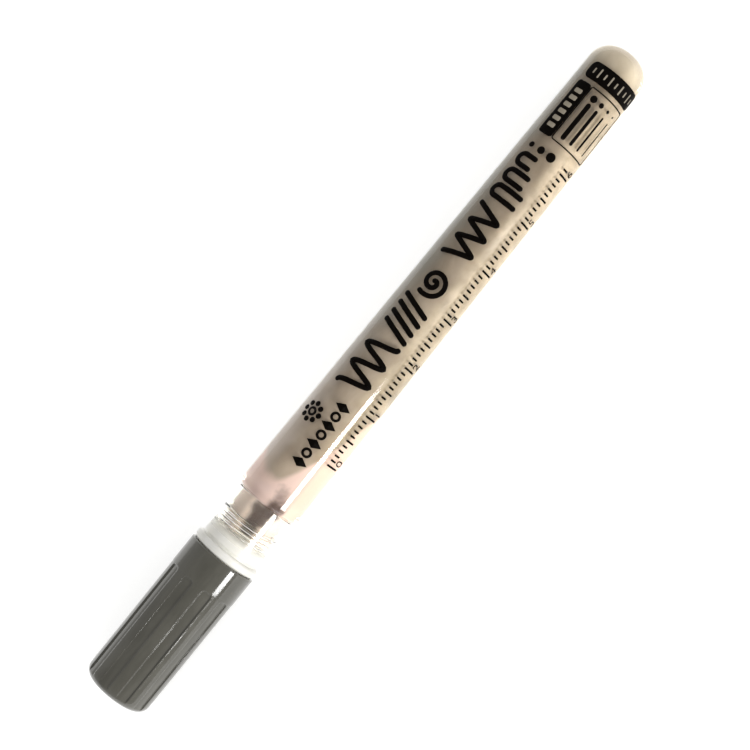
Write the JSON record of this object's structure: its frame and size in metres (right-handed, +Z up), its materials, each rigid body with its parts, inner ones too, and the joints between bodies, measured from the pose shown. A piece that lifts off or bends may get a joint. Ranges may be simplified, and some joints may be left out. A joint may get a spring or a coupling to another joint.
{
  "type": "paint marker",
  "caption": "Slim paint marker with a ribbed push-on cap, a clear screw-on front section with a pumped valve nib, and a tapering see-through barrel that holds the paint.",
  "frame": {"origin": "on the table under the middle of the marker's length, with its axis at cap radius above it", "axes": "+X along the marker from the cap's closed end to the tail, +Z up, +Y to the left when looking from cap to tail"},
  "size_m": [0.134, 0.0124, 0.0124],
  "materials": {
    "cap_plastic": "glossy moulded polypropylene, warm dark grey",
    "liner_plastic": "natural white polyethylene",
    "front_plastic": "clear moulded plastic, slightly cream",
    "ferrule_plastic": "white moulded plastic",
    "nib_fibre": "pressed polyester fibre",
    "valve_plastic": "white acetal",
    "seal_rubber": "soft natural silicone rubber",
    "spring_steel": "stainless spring wire",
    "barrel_plastic": "clear polypropylene with a gloss outside",
    "ball_steel": "polished steel"
  },
  "bodies": {
    "barrel": {"barrel": "barrel_plastic"},
    "gasket": {"neck_gasket": "seal_rubber"},
    "front": {"front_section": "front_plastic", "nib_ferrule": "ferrule_plastic", "valve_housing": "valve_plastic", "valve_spring": "spring_steel"},
    "nib_group": {"nib": "nib_fibre", "valve_plunger": "valve_plastic", "plunger_seal": "seal_rubber"},
    "cap": {"cap_shell": "cap_plastic", "cap_liner": "liner_plastic"},
    "ball": {"mixing_ball": "ball_steel"}
  },
  "joints": [
    {"name": "front_section_travel", "type": "slide", "parent": "barrel", "child": "gasket", "axis": [-1, 0, 0], "range_m": [0, 0.0042]},
    {"name": "front_section_unscrew", "type": "hinge", "parent": "gasket", "child": "front", "pos_m": [-0.0324, 0, 0.0062], "axis": [-1, 0, 0], "range_deg": [0, 1081]},
    {"name": "cap_pull", "type": "slide", "parent": "front", "child": "cap", "axis": [-1, 0, 0], "range_m": [0, 0.04]},
    {"name": "nib_press", "type": "slide", "parent": "front", "child": "nib_group", "axis": [1, 0, 0], "range_m": [0, 0.0016], "stiffness_N_per_m": 300, "springref_m": -0.002, "deforming": ["valve_spring"]},
    {"name": "ball_slide", "type": "slide", "parent": "barrel", "child": "ball", "axis": [1, 0, 0.0085], "range_m": [0, 0.078]}
  ],
  "couplings": [
    {"joint": "front_section_unscrew", "follows": "front_section_travel", "rad_per_m": 4488}
  ]
}
